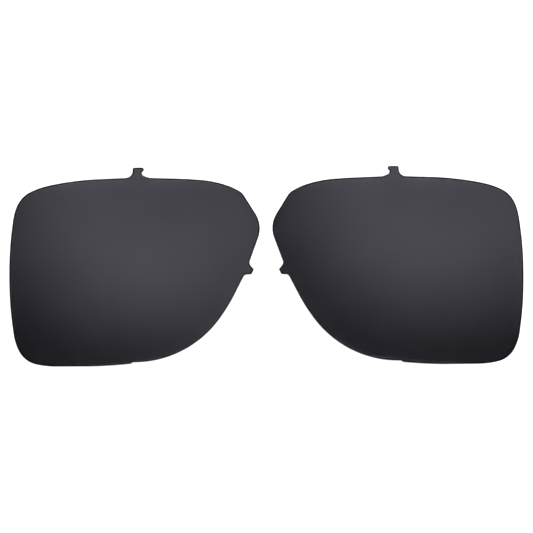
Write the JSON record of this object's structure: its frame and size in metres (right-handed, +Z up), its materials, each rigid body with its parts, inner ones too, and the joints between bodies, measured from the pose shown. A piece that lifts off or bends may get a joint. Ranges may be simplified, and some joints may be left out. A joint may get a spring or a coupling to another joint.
{
  "type": "clip-in sunglass lenses",
  "caption": "Loose dark smoke sunglass lenses, right and left, each domed and edged, with a brow tab and a nose hook that clip it into an eyewear frame.",
  "frame": {"origin": "on the table the lenses lie on, midway between the right and the left lens and midway between brow and cheek", "axes": "+X towards the wearer's left, +Y towards the brow, +Z up from the table, out of the front surfaces"},
  "size_m": [0.1274, 0.0492, 0.0086],
  "materials": {
    "smoke_sheet": "polished, smoke-grey transparent sheet",
    "dark_film": "dark neutral-grey film, smooth",
    "smoke_backing": "polished faces and a finely ground edge, smoke-grey transparent moulding"
  },
  "bodies": {
    "right_lens": {"right_front_sheet": "smoke_sheet", "right_polarizing_film": "dark_film", "right_inner_sheet": "smoke_sheet", "right_backing": "smoke_backing"},
    "left_lens": {"left_front_sheet": "smoke_sheet", "left_polarizing_film": "dark_film", "left_inner_sheet": "smoke_sheet", "left_backing": "smoke_backing"}
  },
  "joints": [
    {"name": "left_lens_lift", "type": "slide", "parent": "right_lens", "child": "left_lens", "axis": [0, 0, 1], "range_m": [0, 0.03]}
  ]
}
